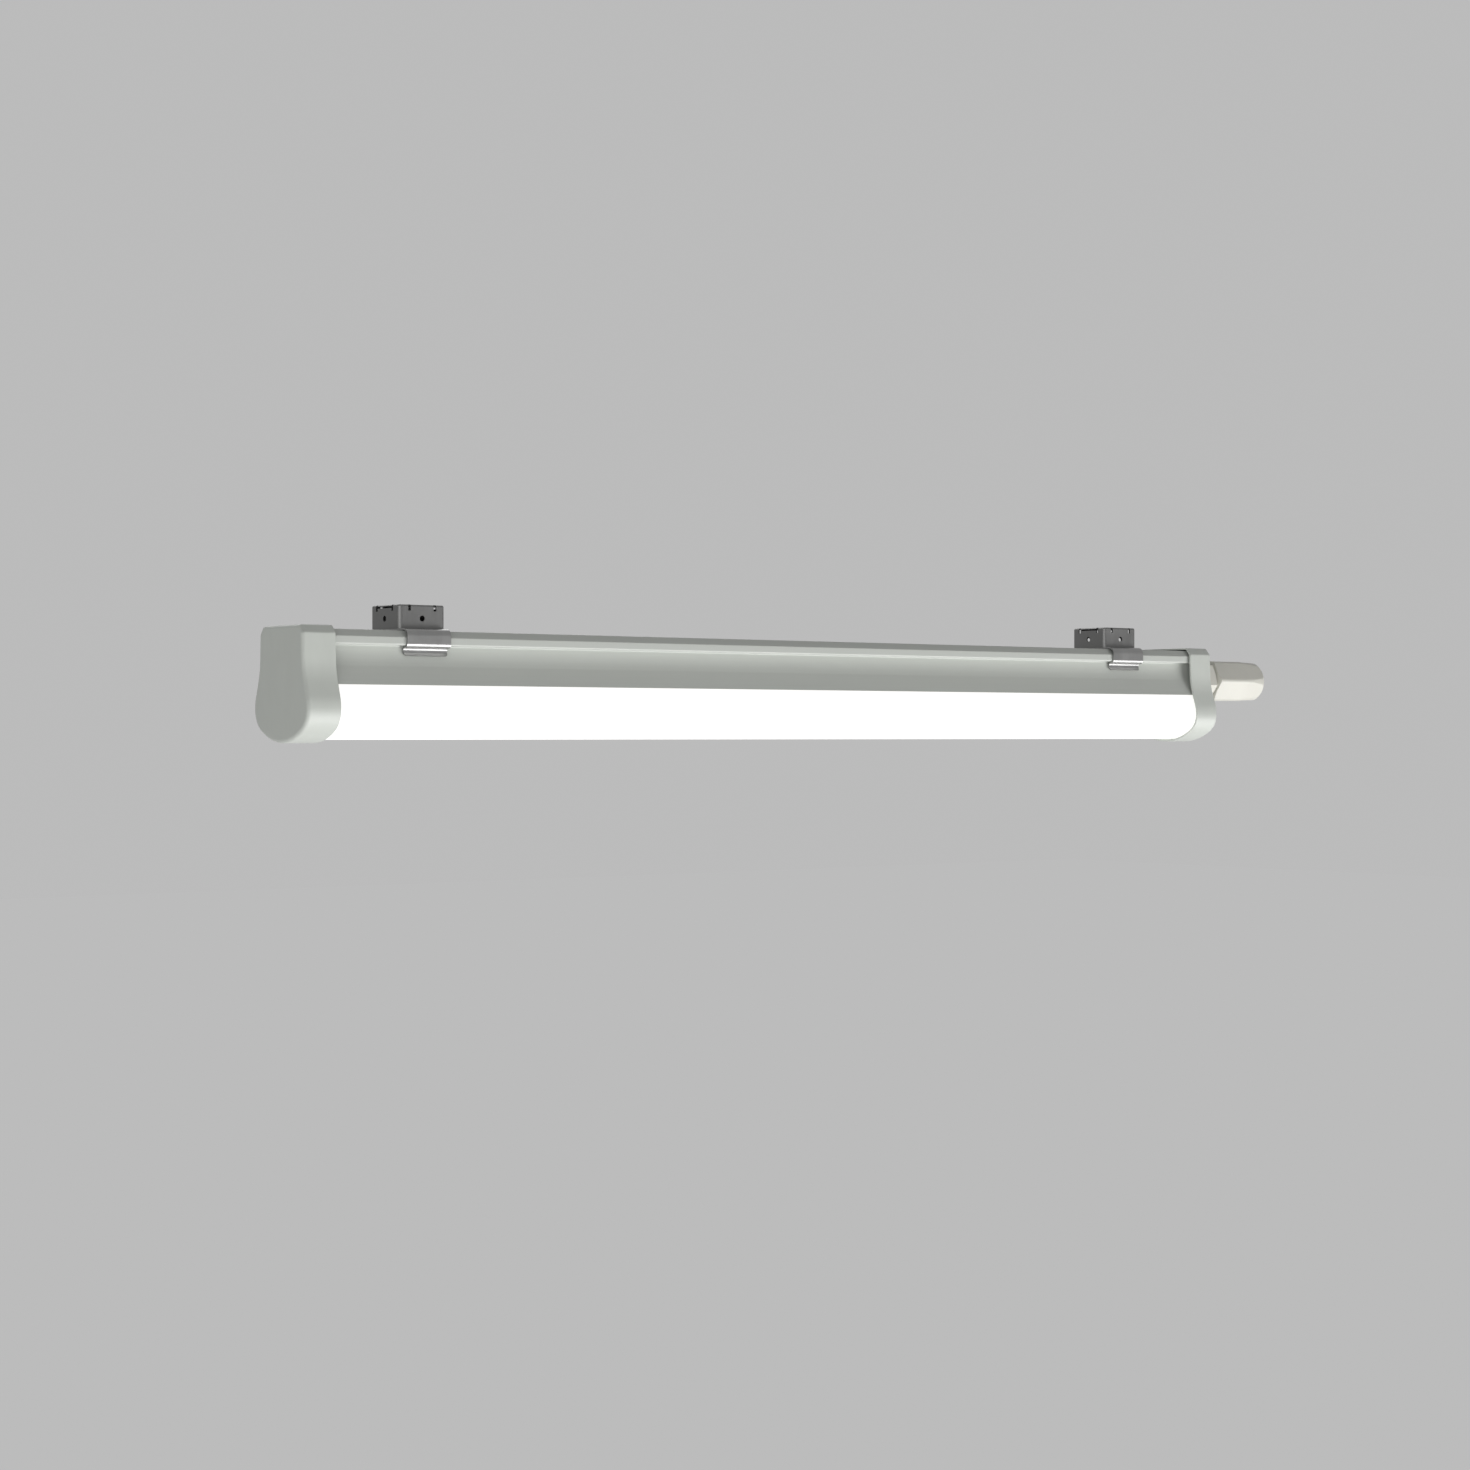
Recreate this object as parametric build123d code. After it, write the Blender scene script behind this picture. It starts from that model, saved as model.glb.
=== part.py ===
from build123d import *
import math
import os

# Vapor tight light fixture: a sealed linear batten hung from a ceiling by two spring clips.
# X runs along the fitting towards the cable gland, Y to its back and Z up.
# Heights are measured up from the underside of the end caps, and every finished
# node is lowered at the end, so that the ceiling plane lies at Z = 0.
# The origin is on the ceiling, midway between the two fixing holes.

# Whole fitting
fitting_length = 650.0
clip_end_distance = 73.5
gear_space_height = 22.9
overrun = 1.0
seat_gap = 0.3
part_gap = 0.1

# End cap: a keyhole outline, wide at the diffuser and narrow at the rails
cap_length = 19.0
cap_bulge_reach = 5.7
cap_bulge_height = 17.0
cap_low_side_radius = 13.0
cap_high_side_radius = 20.0
cap_flare_angle = 18.0
cap_waist_radius = 42.0
cap_side_lean = 2.0
cap_chamfer_width = 3.2
cap_chamfer_height = 4.0
cap_corner_radius = 1.8
cap_edge_radius = 2.0
cap_mouth_radius = 0.4
cap_rim_wall = 1.0
cap_face_wall = 2.5
cap_tongue_length = 14.0
cap_tongue_half_width = 8.0
cap_tongue_thickness = 2.0

# End gasket, between the cap's inner face and the end of the tube
gasket_thickness = 2.0
gasket_lap = 0.8

# Tube: an opaque housing above an opal diffuser
tube_inset = 1.7
split_height = 29.1
housing_wall = 1.8
diffuser_wall = 1.6
rail_half_width = 19.5
rail_depth = 7.7
rail_overhang = 4.1
rail_chamfer_width = 3.2
rail_chamfer_height = 3.5
rail_edge_radius = 1.0
rail_root_radius = 0.6
neck_length = 6.04
side_flare_radius = 25.0
joint_tongue_thickness = 0.6
joint_tongue_height = 1.3
joint_tongue_setback = 1.3

# Gear tray and the guides that it slides in
tray_rise = 1.9
tray_thickness = 1.0
tray_end_gap = 0.5
tray_side_gap = 0.4
tray_notch_margin = 1.3
tray_notch_length = 13.0
guide_thickness = 1.2
guide_reach = 2.2

# Light source
board_thickness = 1.6
board_half_width = 9.0
board_end_gap = 1.0
chip_end_margin = 5.0
chip_pitch = 12.5
chip_length = 3.5
chip_width = 2.8
chip_height = 0.8
board_screw_shares = (-0.92, -0.46, 0, 0.46, 0.92)
connector_length = 7.0
connector_half_width = 4.0
connector_height = 2.6
connector_depth = 3.0

# Pan head screws, as shank radius, head radius and head height
small_screw_radius = 1.5
small_screw_head_radius = 2.7
small_screw_head_height = 1.8
earth_screw_radius = 2.0
earth_screw_head_radius = 3.6
earth_screw_head_height = 2.4
screw_recess_radius = 0.8
screw_recess_depth = 0.9

# Driver
driver_length = 160.0
driver_side_gap = 1.5
driver_roof_gap = 4.9
driver_case_share = 0.56
driver_wall = 1.5
driver_setback = 21.0
driver_foot_length = 8.0
driver_foot_thickness = 2.0
driver_lip_height = 1.5
driver_lip_thickness = 1.0
driver_ledge_height = 2.5
driver_ledge_width = 1.5
driver_board_thickness = 1.6
transformer_length = 26.0
transformer_side_gap = 2.0
transformer_height_share = 0.78
transformer_leg_length = 6.0
transformer_yoke_thickness = 1.5
capacitor_radius = 4.0
capacitor_height_share = 0.87
capacitor_rim_depth = 0.5
capacitor_shares = (0.325, 0.55, 0.775)

# Terminal block
terminal_setback = 7.0
terminal_length = 22.0
terminal_side_gap = 3.0
terminal_side_wall = 2.5
terminal_roof_gap = 6.8
terminal_edge_chamfer = 1.0
mains_entry_radius = 2.0
mains_entry_height = 6.0
mains_entry_depth = 8.0
core_entry_depth = 6.0
button_length = 4.6
button_width = 3.6
button_height = 4.4
button_travel = 1.5
button_rest_gap = 1.7
button_setback = 6.0
button_pocket_depth = 4.0
terminal_screw_setback = 10.3

# Wires
core_radius = 1.1
core_height = 4.0
core_gap = 0.1
output_wire_radius = 0.8
output_wire_spread = 2.0
output_wire_height = 6.0
output_wire_end_gap = 11.5
earth_wire_bend_radius = 4.0
earth_wire_lead = 4.0
wire_clip_shares = (0.17, 0.49, 0.81)
wire_clip_length = 6.0
wire_clip_wall = 1.5

# Earth lug
lug_setback = 23.0
lug_ring_radius = 4.0
lug_thickness = 0.8
lug_barrel_length = 5.0
lug_barrel_wall = 0.5

# Cable gland
gland_top_gap = 2.1
entry_thread_radius = 9.9
entry_thread_length = 9.5
cable_passage_radius = 6.5
thread_depth = 0.6
thread_pitch = 1.5
gland_washer_radius = 12.4
gland_washer_thickness = 2.0
gland_flange_radius = 12.4
gland_flange_thickness = 3.0
collar_across_flats = 22.8
collar_length = 11.4
collar_turn = 12.0
nut_thread_radius = 9.0
nut_thread_length = 11.6
finger_length = 9.0
finger_count = 6
finger_slot_width = 1.2
finger_taper = 0.5
insert_radius = 7.4
insert_bore_radius = 5.0
insert_length = 15.5
insert_seat_gap = 0.1
slip_ring_thickness = 1.4
slip_ring_bore_radius = 6.8
locknut_across_flats = 24.0
locknut_thickness = 5.0
nut_across_flats = 25.0
nut_stand_off = 0.6
nut_hex_length = 26.6
nut_length = 44.3
nut_corner_radius = 2.6
nut_nose_step = 0.2
nut_nose_draft = 0.6
nut_nose_corner_radius = 3.4
nut_nose_root_radius = 13.9
nut_nose_tip_radius = 12.4
nut_nose_edge_radius = 3.0
nut_chamfer = 2.6
nut_thread_gap = 0.06
nut_nose_bore_radius = 6.6
nut_nose_bore_flare = 1.5

# Spring clip
clip_width = 25.8
clip_thickness = 0.8
clip_top_bend_radius = 3.4
clip_low_bend_radius = 1.7
clip_lip_gap = 0.5
clip_lip_length = 5.0
clip_lip_kick = 0.9
clip_lip_kick_height = 1.4
clip_lip_corner_radius = 2.0
clip_access_radius = 4.5
rivet_radius = 1.5
rivet_head_radius = 2.6
rivet_head_height = 1.0
rivet_foot_depth = 0.7
rivet_inset = 4.5

# Ceiling bracket
bracket_width = 27.6
bracket_height = 12.2
bracket_thickness = 0.8
bracket_corner_radius = 2.5
bracket_top_bend_radius = 1.0
bracket_tab_width = 15.0
bracket_notch_width = 1.6
bracket_notch_depth = 3.2
bracket_slot_height = 0.9
bracket_foot_length = 7.1
bracket_foot_width = 8.0
fixing_hole_radius = 2.5
side_hole_radius = 1.5
side_hole_height = 5.2

# Heights that follow from the sizes above
tray_height = split_height + tray_rise
tray_top = tray_height + tray_thickness
roof_height = tray_top + gear_space_height
housing_top_height = roof_height + housing_wall
cap_height = housing_top_height + tube_inset
rail_bottom_height = housing_top_height - rail_depth
neck_height = rail_bottom_height - neck_length
tongue_bottom = roof_height - seat_gap - cap_tongue_thickness
gland_height = tongue_bottom - gland_top_gap - locknut_across_flats / 2
strap_underside = housing_top_height + seat_gap
strap_top = strap_underside + clip_thickness
fitting_drop = strap_top + bracket_height
clip_lip_end_height = rail_bottom_height - clip_lip_length
board_bottom = tray_height - board_thickness
connector_level = board_bottom - connector_height / 2
core_level = tray_top + core_height
output_wire_level = tray_top + output_wire_height
driver_top = roof_height - driver_roof_gap
driver_split = tray_top + (driver_top - tray_top) * driver_case_share
driver_board_bottom = tray_top + driver_wall + driver_ledge_height
driver_board_top = driver_board_bottom + driver_board_thickness
driver_room = driver_top - driver_wall - driver_board_top
terminal_top = roof_height - terminal_roof_gap - (button_height - button_pocket_depth + button_rest_gap)

# Widths that follow from the sizes above
neck_half_width = rail_half_width - rail_overhang
cap_top_half_width = rail_half_width + tube_inset + part_gap
cap_bulge_half_width = cap_top_half_width + cap_bulge_reach
driver_half_width = neck_half_width - housing_wall - driver_side_gap
terminal_half_width = neck_half_width - housing_wall - terminal_side_gap
pole_pitch = terminal_half_width - terminal_side_wall - mains_entry_radius
tray_notch_half_width = locknut_across_flats / math.sqrt(3) + tray_notch_margin

# Places along the fitting that follow from the sizes above
half_length = fitting_length / 2
cap_floor = half_length - cap_face_wall
tube_end = cap_floor - gasket_thickness
cap_mouth = half_length - cap_length
tray_end = tube_end - tray_end_gap
tray_notch_end = tray_end - tray_notch_length
board_end = tray_notch_end - board_end_gap
driver_end_place = driver_setback - tray_notch_end
driver_far_end = driver_end_place + driver_length
driver_middle = driver_end_place + driver_length / 2
terminal_far_end = tray_notch_end - terminal_setback
terminal_place = terminal_far_end - terminal_length
button_x = terminal_place + button_setback
terminal_screw_x = terminal_far_end - terminal_screw_setback
lug_place = terminal_place - lug_setback
clip_places = (clip_end_distance - half_length, half_length - clip_end_distance)
gland_root = half_length + gland_washer_thickness
collar_start = gland_root + gland_flange_thickness
collar_end = collar_start + collar_length
nut_start = collar_end + nut_stand_off
nut_end = nut_start + nut_length
finger_start = collar_end + nut_thread_length
finger_end = finger_start + finger_length
slip_ring_start = finger_end + seat_gap
nut_shoulder = slip_ring_start + slip_ring_thickness + part_gap


def polar(centre, radius, angle):
    """Point at a radius and an angle in degrees from a centre."""
    turn = math.radians(angle)
    return (centre[0] + radius * math.cos(turn), centre[1] + radius * math.sin(turn))


def facing(angle):
    """Unit vector that points at an angle in degrees."""
    return polar((0, 0), 1, angle)


def reach(point, normal):
    """Distance of a point along a unit vector."""
    return point[0] * normal[0] + point[1] * normal[1]


def crossing(normal_a, reach_a, normal_b, reach_b):
    """Point where the lines at two distances along two unit vectors cross."""
    spread = normal_a[0] * normal_b[1] - normal_a[1] * normal_b[0]
    across = (reach_a * normal_b[1] - reach_b * normal_a[1]) / spread
    up = (normal_a[0] * reach_b - normal_b[0] * reach_a) / spread
    return (across, up)


def mirrored(points):
    """Right-hand points, then their mirror images in the reverse order."""
    return list(points) + [(-y, z) for y, z in reversed(points)]


def moved_chain(points, distance):
    """Chain of straight lines moved to the left of its travel, with mitred corners."""
    normals = []
    for start, end in zip(points, points[1:]):
        length = math.dist(start, end)
        normals.append(((start[1] - end[1]) / length, (end[0] - start[0]) / length))
    first = (points[0][0] + normals[0][0] * distance, points[0][1] + normals[0][1] * distance)
    last = (points[-1][0] + normals[-1][0] * distance, points[-1][1] + normals[-1][1] * distance)
    moved = [first]
    for before, after, point in zip(normals, normals[1:], points[1:]):
        moved.append(crossing(before, reach(point, before) + distance, after, reach(point, after) + distance))
    moved.append(last)
    return moved


def bent_sheet(points, bends, thickness):
    """Section of a bent sheet, from its middle line and the bend radius at each corner."""
    half = thickness / 2
    outer_radii = []
    inner_radii = []
    for before, corner, after, bend in zip(points, points[1:], points[2:], bends):
        in_run = (corner[0] - before[0], corner[1] - before[1])
        out_run = (after[0] - corner[0], after[1] - corner[1])
        turns_left = in_run[0] * out_run[1] - in_run[1] * out_run[0] > 0
        step = half if turns_left else -half
        outer_radii.append(bend + step)
        inner_radii.append(bend - step)
    outer = FilletPolyline(*moved_chain(points, -half), radius=outer_radii)
    inner = FilletPolyline(*moved_chain(points, half), radius=inner_radii)
    start_line = Line(outer @ 0, inner @ 0)
    end_line = Line(outer @ 1, inner @ 1)
    return Face(Wire([*outer.edges(), *inner.edges(), start_line, end_line]))


def rounded_face(points, radii):
    """Face inside a closed chain of lines, with a radius at each corner."""
    return Face(FilletPolyline(*points, radius=radii, close=True))


def block_face(low_y, high_y, low_z, high_z):
    """Rectangle in the YZ plane between two corners."""
    middle = ((low_y + high_y) / 2, (low_z + high_z) / 2)
    return Pos(*middle) * Rectangle(high_y - low_y, high_z - low_z)


def along_x(profile, start, end):
    """Solid with a profile in the YZ plane, between two places along X."""
    return extrude(Plane.YZ.offset(start) * profile, end - start, dir=(1, 0, 0))


def block(low_x, high_x, low_y, high_y, low_z, high_z):
    """Rectangular solid between two corners."""
    return along_x(block_face(low_y, high_y, low_z, high_z), low_x, high_x)


def post(x, y, radius, low, high):
    """Upright round solid."""
    return Pos(x, y, (low + high) / 2) * Cylinder(radius, high - low)


def bar_x(y, z, radius, start, end):
    """Round solid that runs along X."""
    return Pos((start + end) / 2, y, z) * Rot(0, 90, 0) * Cylinder(radius, end - start)


def bar_y(x, z, radius, start, end):
    """Round solid that runs along Y."""
    return Pos(x, (start + end) / 2, z) * Rot(90, 0, 0) * Cylinder(radius, end - start)


def turned(points):
    """Solid turned about the gland's axis, from places along X and radii."""
    outline = Plane.XZ * Face(Polyline(*points, close=True))
    return Pos(0, 0, gland_height) * revolve(outline, Axis.X, 360)


def hexagon_bar(across_flats, start, end, turn=0):
    """Hexagonal solid on the gland's axis, turned from having flats at its top and bottom."""
    outline = RegularPolygon(across_flats / 2, 6, major_radius=False, rotation=turn)
    return Pos(0, 0, gland_height) * along_x(outline, start, end)


def thread_crests(start, end, radius):
    """Outline points of a thread, as rings one pitch apart."""
    turns = int((end - start) / thread_pitch)
    points = []
    for turn in range(turns):
        points.append((start + turn * thread_pitch, radius))
        points.append((start + (turn + 1 / 2) * thread_pitch, radius - thread_depth))
    points.append((start + turns * thread_pitch, radius))
    points.append((end, radius))
    return points


def pan_screw(x, y, seat, end, radius, head_radius, head_height):
    """Screw along Z whose head lies beyond its seat, away from the shank's end."""
    head_side = 1 if end < seat else -1
    head_end = seat + head_side * head_height
    recess_floor = head_end - head_side * screw_recess_depth
    shank = post(x, y, radius, min(seat, end), max(seat, end))
    head = post(x, y, head_radius, min(seat, head_end), max(seat, head_end))
    recess = post(x, y, screw_recess_radius, min(recess_floor, head_end), max(recess_floor, head_end))
    return shank + head - recess


def small_screw(x, y, seat, end):
    """The small pan head screw that holds pieces to the tray."""
    return pan_screw(x, y, seat, end, small_screw_radius, small_screw_head_radius, small_screw_head_height)


# Keyhole outline of the end cap and, further in, of the diffuser
low_centre = (cap_bulge_half_width - cap_low_side_radius, cap_bulge_height)
high_centre = (cap_bulge_half_width - cap_high_side_radius, cap_bulge_height)
bottom_radius = (math.hypot(*low_centre) ** 2 - cap_low_side_radius ** 2) / (
    2 * (cap_bulge_height - cap_low_side_radius))
bottom_centre = (0, bottom_radius)
bottom_angle = math.degrees(math.atan2(low_centre[1] - bottom_radius, low_centre[0]))
flare_normal = facing(cap_flare_angle)
flare_reach = reach(high_centre, flare_normal) + cap_high_side_radius


def bulb_points(inset):
    """Ends of the right-hand arcs of the bulge, from the bottom up."""
    low = polar(low_centre, cap_low_side_radius - inset, bottom_angle)
    wide = polar(low_centre, cap_low_side_radius - inset, 0)
    high = polar(high_centre, cap_high_side_radius - inset, cap_flare_angle)
    return low, wide, high


def bulb_arcs(inset):
    """Arcs of the bulge, at a distance inside the cap's outline."""
    low, wide, high = bulb_points(inset)
    low_middle = polar(low_centre, cap_low_side_radius - inset, bottom_angle / 2)
    high_middle = polar(high_centre, cap_high_side_radius - inset, cap_flare_angle / 2)
    right = [ThreePointArc(low, low_middle, wide), ThreePointArc(wide, high_middle, high)]
    left = [arc.mirror(Plane.YZ) for arc in right]
    bottom = ThreePointArc((-low[0], low[1]), (0, inset), low)
    return [bottom, *right, *left]


def flare_point(height, inset):
    """Point of the straight flare above the bulge, at a height."""
    return crossing(flare_normal, flare_reach - inset, (0, 1), height)


def cap_profile(inset):
    """The whole keyhole outline, at a distance inside the cap's outer face."""
    side_normal = facing(cap_side_lean)
    chamfer_length = math.hypot(cap_chamfer_width, cap_chamfer_height)
    chamfer_normal = (cap_chamfer_height / chamfer_length, cap_chamfer_width / chamfer_length)
    shoulder = (cap_top_half_width, cap_height - cap_chamfer_height)
    side_reach = reach(shoulder, side_normal) - inset
    chamfer_reach = reach(shoulder, chamfer_normal) - inset
    high = bulb_points(inset)[2]
    waist = crossing(flare_normal, flare_reach - inset, side_normal, side_reach)
    side_top = crossing(side_normal, side_reach, chamfer_normal, chamfer_reach)
    roof_edge = crossing(chamfer_normal, chamfer_reach, (0, 1), cap_height - inset)
    corner = max(cap_corner_radius - inset, 0)
    radii = [cap_waist_radius + inset, corner, corner]
    upper = FilletPolyline(*mirrored([high, waist, side_top, roof_edge]), radius=radii + radii[::-1])
    return Face(Wire([*upper.edges(), *bulb_arcs(inset)]))


# Outline of the housing above the joint with the diffuser
split_point = flare_point(split_height, tube_inset)
side_slope = (split_point[0] - neck_half_width) / (neck_height - split_height)
side_angle = math.atan(side_slope)
housing_side_points = [
    split_point,
    (neck_half_width, neck_height),
    (neck_half_width, rail_bottom_height),
    (rail_half_width, rail_bottom_height),
    (rail_half_width, housing_top_height - rail_chamfer_height),
    (rail_half_width - rail_chamfer_width, housing_top_height),
]
flare_room = min(neck_length - rail_root_radius, (neck_height - split_height) / 2)
flare_fillet = min(side_flare_radius, flare_room / math.tan(side_angle / 2) - housing_wall)


def housing_side(height, inset):
    """Half width of the housing on its straight flare, at a height."""
    fall = (height - split_height) * side_slope
    return split_point[0] - fall - inset / math.cos(side_angle)


def housing_profile(inset):
    """Area inside the housing's outline, at a distance inside its outer face."""
    chain = mirrored(housing_side_points)
    inside = moved_chain(chain, inset)
    edge = max(rail_edge_radius - inset, 0)
    root_room = rail_half_width - neck_half_width - edge - part_gap
    root = min(rail_root_radius + inset, root_room)
    radii = [flare_fillet + inset, root, edge, edge, edge]
    return rounded_face(inside, [0, *radii, *radii[::-1], 0])


def diffuser_profile(inset):
    """Area inside the diffuser's outline, up to the joint with the housing."""
    high = bulb_points(inset)[2]
    edge = flare_point(split_height, inset)
    upper = Polyline(*mirrored([high, edge]))
    return Face(Wire([*upper.edges(), *bulb_arcs(inset)]))


def joint_tongue(growth):
    """Tongues along the diffuser's upper edges, or the grooves that take them."""
    middle = split_point[0] - joint_tongue_setback
    half = joint_tongue_thickness / 2 + growth
    right = block_face(middle - half, middle + half, split_height, split_height + joint_tongue_height + growth)
    return right + right.mirror(Plane.YZ)


def tray_guides():
    """Ledges under the tray's edges and ribs above them."""
    ribs = []
    for low in (tray_height - guide_thickness, tray_top + seat_gap):
        high = low + guide_thickness
        root = housing_side(low, housing_wall)
        tip = root - guide_reach
        right = block_face(tip, housing_side(high, housing_wall / 2), low, high)
        ribs += [right, right.mirror(Plane.YZ)]
    return ribs


def housing_extrusion():
    """Opaque upper half of the tube, open below, with rails outside and guides inside."""
    profile = housing_profile(0) - housing_profile(housing_wall)
    for rib in tray_guides():
        profile = profile + rib
    return along_x(profile - joint_tongue(part_gap), -tube_end, tube_end)


def diffuser():
    """Opal lower half of the tube, with a tongue along each upper edge."""
    shell = diffuser_profile(tube_inset) - diffuser_profile(tube_inset + diffuser_wall)
    return along_x(shell + joint_tongue(0), -tube_end, tube_end)


def cap_tongues(growth):
    """Outlines of the two tongues by which a cap is centred inside the tube."""
    half = cap_tongue_half_width + growth
    upper = block_face(-half, half, tongue_bottom - growth, tongue_bottom + cap_tongue_thickness + growth)
    inside = tube_inset + diffuser_wall + seat_gap - growth
    strip_top = tube_inset + diffuser_wall + seat_gap + cap_tongue_thickness + growth
    lower = cap_profile(inside) & block_face(-half, half, 0, strip_top)
    return upper, lower


def left_end_cap():
    """Keyhole cap, hollow towards the tube, with two centring tongues."""
    body = along_x(cap_profile(0), -half_length, -cap_mouth)
    body = fillet(body.faces().sort_by(Axis.X)[0].edges(), cap_edge_radius)
    body = fillet(body.faces().sort_by(Axis.X)[-1].edges(), cap_mouth_radius)
    body = body - along_x(cap_profile(cap_rim_wall), -cap_floor, -cap_mouth + overrun)
    for tongue in cap_tongues(0):
        body = body + along_x(tongue, -cap_floor, -cap_floor + cap_tongue_length)
    return body


def right_end_cap():
    """The same cap the other way round, with the hole for the gland."""
    hole = bar_x(0, gland_height, entry_thread_radius + part_gap, cap_floor - overrun, half_length + overrun)
    return left_end_cap().mirror(Plane.YZ) - hole


def left_end_gasket():
    """Flat ring on the floor of the cap, slotted for the tongues."""
    housing_bore = housing_profile(housing_wall + gasket_lap)
    diffuser_bore = diffuser_profile(tube_inset + diffuser_wall + gasket_lap)
    ring = cap_profile(cap_rim_wall + seat_gap) - housing_bore - diffuser_bore
    for tongue in cap_tongues(part_gap):
        ring = ring - tongue
    return along_x(ring, -cap_floor, -tube_end)


def gear_tray():
    """Flat sheet whose edges slide in the guides, notched at both ends."""
    half_width = housing_side(tray_top, housing_wall) - tray_side_gap
    sheet = block(-tray_end, tray_end, -half_width, half_width, tray_height, tray_top)
    for end in (-1, 1):
        low, high = sorted((end * tray_notch_end, end * (tray_end + overrun)))
        half_notch = tray_notch_half_width
        sheet = sheet - block(low, high, -half_notch, half_notch, tray_height - overrun, tray_top + overrun)
    peg_spots = [(x, 0) for x in wire_clip_places()]
    for x, y in [*board_screw_spots(), *driver_screw_spots(), (terminal_screw_x, 0), *peg_spots]:
        sheet = sheet - post(x, y, small_screw_radius + part_gap, tray_height - overrun, tray_top + overrun)
    earth_hole = post(lug_place, 0, earth_screw_radius + part_gap, tray_height - overrun, tray_top + overrun)
    return sheet - earth_hole


def board_screw_spots():
    """Places of the screws that hold the board up to the tray, each midway between two chips."""
    chips_per_side = int((board_end - chip_end_margin) / chip_pitch)
    return [(round(share * chips_per_side) * chip_pitch, 0) for share in board_screw_shares]


def led_board():
    """Circuit board under the tray, with a hole for each screw."""
    board = block(-board_end, board_end, -board_half_width, board_half_width, board_bottom, tray_height)
    for x, y in board_screw_spots():
        board = board - post(x, y, small_screw_radius + part_gap, board_bottom - overrun, tray_height + overrun)
    return board


def led_chips():
    """Row of light packages along the middle of the board."""
    chips = []
    chip_count = 2 * int((board_end - chip_end_margin) / chip_pitch)
    for index in range(chip_count):
        x = (index - (chip_count - 1) / 2) * chip_pitch
        half_x = chip_length / 2
        half_y = chip_width / 2
        chips.append(block(x - half_x, x + half_x, -half_y, half_y, board_bottom - chip_height, board_bottom))
    return Compound(chips)


def board_screws():
    """Screws that hold the board to the tray."""
    return Compound([small_screw(x, y, board_bottom, tray_top) for x, y in board_screw_spots()])


def board_connector():
    """Small block under the board's left end, where the output wires enter."""
    low = -board_end + board_end_gap
    half = connector_half_width
    body = block(low, low + connector_length, -half, half, board_bottom - connector_height, board_bottom)
    for side in (-1, 1):
        y = side * output_wire_spread
        body = body - bar_x(y, connector_level, output_wire_radius + core_gap, low - overrun, low + connector_depth)
    return body


def driver_screw_spots():
    """Places of the screws through the driver's two feet."""
    half_foot = driver_foot_length / 2
    return [(driver_end_place - half_foot, 0), (driver_far_end + half_foot, 0)]


def driver_case():
    """Open tray-side shell of the driver, with feet, ledges and wire holes."""
    half = driver_half_width
    inner = half - driver_wall
    floor = tray_top + driver_wall
    low = driver_end_place
    high = driver_far_end
    shell = block(low, high, -half, half, tray_top, driver_split)
    shell = shell - block(low + driver_wall, high - driver_wall, -inner, inner, floor, driver_split + overrun)
    for side in (-1, 1):
        near, far = sorted((side * inner, side * (inner - driver_ledge_width)))
        ledge = block(low + driver_wall, high - driver_wall, near, far, floor, floor + driver_ledge_height)
        shell = shell + ledge
    foot_top = tray_top + driver_foot_thickness
    foot_half = half - driver_wall
    shell = shell + block(low - driver_foot_length, low, -foot_half, foot_half, tray_top, foot_top)
    shell = shell + block(high, high + driver_foot_length, -foot_half, foot_half, tray_top, foot_top)
    for x, y in driver_screw_spots():
        shell = shell - post(x, y, small_screw_radius + part_gap, tray_top - overrun, foot_top + overrun)
    for side in (-1, 1):
        output_y = side * output_wire_spread
        output_hole = output_wire_radius + core_gap
        shell = shell - bar_x(output_y, output_wire_level, output_hole, low - overrun, low + driver_wall + overrun)
        input_y = side * pole_pitch
        input_hole = core_radius + core_gap
        shell = shell - bar_x(input_y, core_level, input_hole, high - driver_wall - overrun, high + overrun)
    return shell


def driver_cover():
    """Upper shell of the driver, with a lip that drops inside the case."""
    half = driver_half_width
    inner = half - driver_wall
    low = driver_end_place
    high = driver_far_end
    cover = block(low, high, -half, half, driver_split, driver_top)
    roof = driver_top - driver_wall
    cover = cover - block(low + driver_wall, high - driver_wall, -inner, inner, driver_split - overrun, roof)
    lip_half = inner - part_gap
    lip_low = low + driver_wall + part_gap
    lip_high = high - driver_wall - part_gap
    lip_bottom = driver_split - driver_lip_height
    lip_top = driver_split + driver_lip_height
    lip = block(lip_low, lip_high, -lip_half, lip_half, lip_bottom, driver_split)
    lip_root = block(low + driver_wall, high - driver_wall, -inner, inner, driver_split, lip_top)
    wall = driver_lip_thickness
    hollow = block(lip_low + wall, lip_high - wall, wall - lip_half, lip_half - wall,
                   lip_bottom - overrun, lip_top + overrun)
    return cover + lip + lip_root - hollow


def driver_board():
    """Circuit board that rests on the ledges inside the driver."""
    half = driver_half_width - driver_wall - part_gap
    end_gap = driver_wall + tray_end_gap
    low = driver_end_place + end_gap
    return block(low, driver_far_end - end_gap, -half, half, driver_board_bottom, driver_board_top)


def driver_transformer():
    """Two core legs joined above and below a round coil."""
    half_x = transformer_length / 2
    half_y = driver_half_width - driver_wall - transformer_side_gap
    low = driver_board_top
    high = low + driver_room * transformer_height_share
    core = block(driver_middle - half_x, driver_middle + half_x, -half_y, half_y, low, high)
    window = half_x - transformer_leg_length
    yoke = transformer_yoke_thickness
    core = core - block(driver_middle - window, driver_middle + window, -half_y - overrun, half_y + overrun,
                        low + yoke, high - yoke)
    coil_end = window + yoke
    return core + bar_x(0, (low + high) / 2, (high - low) / 2, driver_middle - coil_end, driver_middle + coil_end)


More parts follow.
